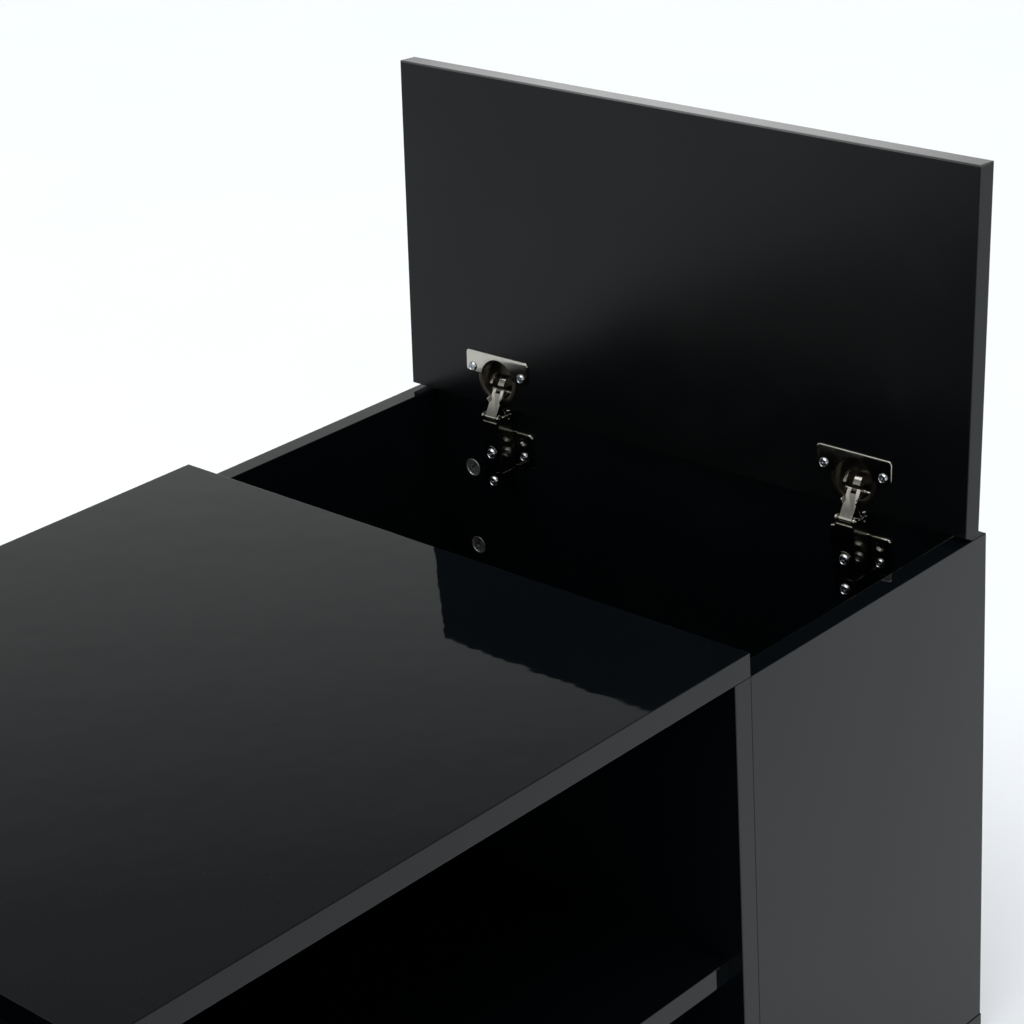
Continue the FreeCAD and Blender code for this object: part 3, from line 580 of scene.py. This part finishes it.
# A cross-headed screw, its head's underside at z 0. The outline runs from the top's middle to the point.
def screwShape(size):
    head, rise, shank, tip = size["head"], size["rise"], size["shank"], size["length"] - 1
    recess = [(0, rise * 0.80), (head * 0.25, rise * 0.80), (head * 0.66, rise * 0.78)]
    rolled = [(head * 0.72, rise), (head * 0.80, rise), (head * 0.95, rise * 0.55), (head, rise * 0.2)]
    stem = [(head, 0), (shank, 0), (shank, -tip * 0.8), (0, -tip)]
    return crossHead(recess + rolled + stem, size["lobes"], size["depth"])


wings = {"span": 51.0, "top": -16.0, "height": 28.0, "thick": 2.0, "corner": 3.6, "round": 1.45,
         "holePitch": 33.0, "emptyAt": -23.0, "screwAt": -35.0, "sink": 3.4, "sinkFloor": 0.6,
         "holePlay": 0.2}
saddle = {"half": 5.9, "round": 0.5, "blocks": ((0.0, -58.0, 2.0, -40.0), (1.9, -44.0, 10.4, -16.0),
                                                (1.9, -58.0, 17.5, -46.0))}
cover = {"out": (18.9, 19.4), "half": 7.75, "drop": (-44.5, -4.9), "corner": 0.8, "round": 0.35}
outward = Matrix.Rotation(math.pi / 2, 4, "Y")


# The mounting plate: two wings, each with an empty countersunk hole over a screw hole.
def wingPiece(where, wall):
    shape = bmesh.new()
    half, thick = wings["span"] / 2, wings["thick"]
    roundedPlate(shape, (0.0, -half, wings["top"] - wings["height"]), (thick, half, wings["top"]),
                 wings["corner"], wings["round"], wall)
    piece = finished("hinge_plate_wings" + where, shape, "table", "hinge_nickel", angle=50,
                     replaced=("hinge_plate" + where,))
    bore, sink, past = screws["shank"] + wings["holePlay"], wings["sink"], thick + 2
    plain = [(0, -1), (bore, -1), (bore, past), (0, past)]
    sunk = [(0, -1), (bore, -1), (bore, wings["sinkFloor"]), (sink, thick + 0.05), (sink, past), (0, past)]
    places = []
    for across in (-0.5, 0.5):
        for level, profile in ((wings["emptyAt"], sunk), (wings["screwAt"], plain)):
            hole = Matrix.Translation((0, across * wings["holePitch"] * mm, level * mm))
            places.append((profile, wall @ hole @ outward))
    return pierced(piece, places)


# The plate's raised middle, which the arm slides over.
def saddlePiece(where, wall):
    shape = bmesh.new()
    for near, low, far, high in saddle["blocks"]:
        block(shape, (near, -saddle["half"], low), (far, saddle["half"], high), wall)
    return finished("hinge_saddle" + where, shape, "table", "hinge_nickel", saddle["round"] * mm)


# The thin plate on the arm's face.
def coverPiece(where, wall):
    shape = bmesh.new()
    (near, far), (low, high), half = cover["out"], cover["drop"], cover["half"]
    roundedPlate(shape, (near, -half, low), (far, half, high), cover["corner"], cover["round"], wall)
    return finished("arm_cover" + where, shape, "table", "hinge_nickel", angle=50)


# The cup in the lid: bowl, hooks and flange with its round mouth.
def cupPieces(where, lid, body):
    dark = finished("hinge_bowl_painted_shade" + where, cupShape(lid), body, "hinge_nickel", angle=40,
                    replaced=("hinge_cup" + where,))
    # The bowl gets the darker copy of the nickel: painted shade in the cup's recess.
    dark.data.materials[0] = materials["hinge_bowl_painted_shade"]
    finished("hinge_hooks" + where, hookShape(lid), body, "hinge_nickel", hooks["round"] * mm)
    flange = finished("hinge_flange" + where, flangeShape(lid), body, "hinge_nickel", angle=50)
    mouth, past = cup["well"] + cup["mouth"], 3
    centre = lid @ Matrix.Translation((cup["centre"] * mm, 0, 0))
    pierced(flange, [([(0, -past), (mouth, -past), (mouth, past), (0, past)], centre)])


plateScrewPlaces, armScrewPlaces = [], []
for side in sides:
    cupScrewPlaces = []
    for end in ends:
        where = "_%s_%s" % (side, end)
        wall, lid = wallFrame(side, end), lidFrame(side, end)
        eased("hinge_arm" + where, "table", hinge["armRound"] * mm)
        eased("outer_link" + where, side + "_outer_links", hinge["linkRound"] * mm)
        eased("inner_link" + where, side + "_inner_links", hinge["strapRound"] * mm)
        wingPiece(where, wall)
        saddlePiece(where, wall)
        coverPiece(where, wall)
        cupPieces(where, lid, side + "_lid")
        for across in (-0.5, 0.5):
            seat = (cup["screwAt"] * mm, across * cup["screwPitch"] * mm, -cup["flangeThick"] * mm)
            cupScrewPlaces.append(lid @ Matrix.Translation(seat) @ Matrix.Rotation(math.pi, 4, "X")
                                  @ Matrix.Rotation(0.3 + across, 4, "Z"))
            seat = (wings["thick"] * mm, across * wings["holePitch"] * mm, wings["screwAt"] * mm)
            plateScrewPlaces.append(wall @ Matrix.Translation(seat) @ outward)
        for out, up in adjusters["places"]:
            armScrewPlaces.append(wall @ Matrix.Translation((out * mm, 0, up * mm)) @ outward
                                  @ Matrix.Rotation(0.5 + up, 4, "Z"))
    placedCopies("cup_screw_heads_" + side, screwShape(screws), cupScrewPlaces, side + "_lid", "zinc_screws",
                 replaced=("cup_screws_" + side,))
print("hinges made")

# Cam locks: a notched ring round a deep cross, in mm from the end panels' inner faces.

cams = {"radius": 7.35, "thick": 12.0, "lobes": (2.2, 4.4), "core": 2.0, "arm": 4.9, "depth": 4.5,
        "ring": 5.6, "ringEnd": 6.9, "sunk": 0.35, "drops": (58.0, 123.0, 316.0), "bore": 7.4}


def camShape():
    sunk, ring, radius = -cams["sunk"], cams["ring"], cams["radius"]
    face = [(0, sunk), (cams["core"], sunk), (cams["arm"], sunk), (ring, sunk)]
    raised = [(ring + 0.3, 0.0), (cams["ringEnd"], 0.0), (radius, -0.4)]
    return crossHead(face + raised + [(radius, -cams["thick"]), (0, -cams["thick"])], cams["lobes"],
                     cams["depth"])


camPlaces = []
camLow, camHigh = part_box("cam_locks")
for side, sign in sides.items():
    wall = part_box("end_panel_" + side)[0 if sign > 0 else 1].x
    for y in (camLow.y + cams["bore"] * mm, camHigh.y - cams["bore"] * mm):
        for drop in cams["drops"]:
            camPlaces.append(Matrix.Translation((wall, y, rim - drop * mm))
                             @ Matrix.Rotation(-sign * math.pi / 2, 4, "Y")
                             @ Matrix.Rotation(0.8 + drop, 4, "Z"))
placedCopies("cam_faces", camShape(), camPlaces, "table", "zinc_casting", replaced=("cam_locks",))
placedCopies("plate_screw_heads", screwShape(screws), plateScrewPlaces, "table", "zinc_screws",
             replaced=("plate_screws",))
placedCopies("arm_screw_heads", screwShape(adjusters), armScrewPlaces, "table", "zinc_screws",
             replaced=("arm_screws",))
print("fasteners placed")

# Studio, in metres.

studio = {"floor": (0.93, 0.965, 1.0), "floorReach": 9.0, "overhead": 2.30, "overheadSpread": 60,
          "side": {"power": 3.0, "size": (1.6, 1.2), "place": (-2.4, -0.6, 1.5), "target": (0.2, 0.0, 0.4)},
          "softbox": {"power": 11.0, "size": (1.6, 1.1), "place": (-0.9, 1.5, 2.9),
                      "target": (0.45, 0.0, 0.4)},
          "sky": ((0.00, 1.00), (0.27, 1.12), (0.34, 0.82), (0.41, 0.55), (0.52, 0.24), (0.80, 0.12))}
view = {"place": (-0.8792, -1.1481, 1.1470), "pitch": 23.90, "yaw": 43.86, "roll": -3.683, "lens": 96.06}

mesh = bpy.data.meshes.new("floor")
floor = bpy.data.objects.new("floor", mesh)
scene.collection.objects.link(floor)
shape = bmesh.new()
bmesh.ops.create_grid(shape, x_segments=8, y_segments=8, size=studio["floorReach"])
shape.to_mesh(mesh)
shape.free()
tree = Tree("floor", studio["floor"], 0.9)
duller = tuple(channel * 0.985 for channel in studio["floor"])
patches = tree.ramp(tree.noise(3.0, 2.0), (0.3, studio["floor"]), (0.7, duller))
mesh.materials.append(tree.feed(Base_Color=patches))

world = bpy.data.worlds.new("studio")
scene.world = world
world.use_nodes = True
sky = world.node_tree
direction = sky.nodes.new("ShaderNodeTexCoord")
parts = sky.nodes.new("ShaderNodeSeparateXYZ")
falloff = sky.nodes.new("ShaderNodeValToRGB")
while len(falloff.color_ramp.elements) < len(studio["sky"]):
    falloff.color_ramp.elements.new(0.5)
for element, (rise, level) in zip(falloff.color_ramp.elements, studio["sky"]):
    element.position = rise
    element.color = (level, level, level, 1)
sky.links.new(direction.outputs["Generated"], parts.inputs["Vector"])
sky.links.new(parts.outputs["Z"], falloff.inputs["Fac"])
sky.links.new(falloff.outputs["Color"], sky.nodes["Background"].inputs["Color"])


def areaLight(name):
    made = studio[name]
    data = bpy.data.lights.new(name, "AREA")
    data.shape = "RECTANGLE"
    data.size, data.size_y = made["size"]
    data.energy = made["power"]
    light = bpy.data.objects.new(name, data)
    light.location = made["place"]
    aim = Vector(made["target"]) - light.location
    light.rotation_euler = aim.to_track_quat("-Z", "Y").to_euler()
    scene.collection.objects.link(light)


sun = bpy.data.objects.new("overhead", bpy.data.lights.new("overhead", "SUN"))
sun.data.energy = studio["overhead"]
sun.data.angle = math.radians(studio["overheadSpread"])
sun.rotation_euler = (math.radians(8), math.radians(-6), 0)
scene.collection.objects.link(sun)
areaLight("side")
areaLight("softbox")

camera = bpy.data.cameras.new("camera")
camera.lens = view["lens"]
camera.sensor_width = 36.0
pitch, yaw, roll = (math.radians(view[angle]) for angle in ("pitch", "yaw", "roll"))
forward = Vector((math.cos(pitch) * math.cos(yaw), math.cos(pitch) * math.sin(yaw), -math.sin(pitch)))
across = forward.cross(Vector((0, 0, 1))).normalized()
up = across.cross(forward)
right = across * math.cos(roll) + up * math.sin(roll)
up = up * math.cos(roll) - across * math.sin(roll)
eye = bpy.data.objects.new("camera", camera)
eye.matrix_world = Matrix.Translation(view["place"]) @ Matrix((right, up, -forward)).transposed().to_4x4()
scene.collection.objects.link(eye)
scene.camera = eye
scene.view_settings.view_transform = "Standard"
print("studio ready")
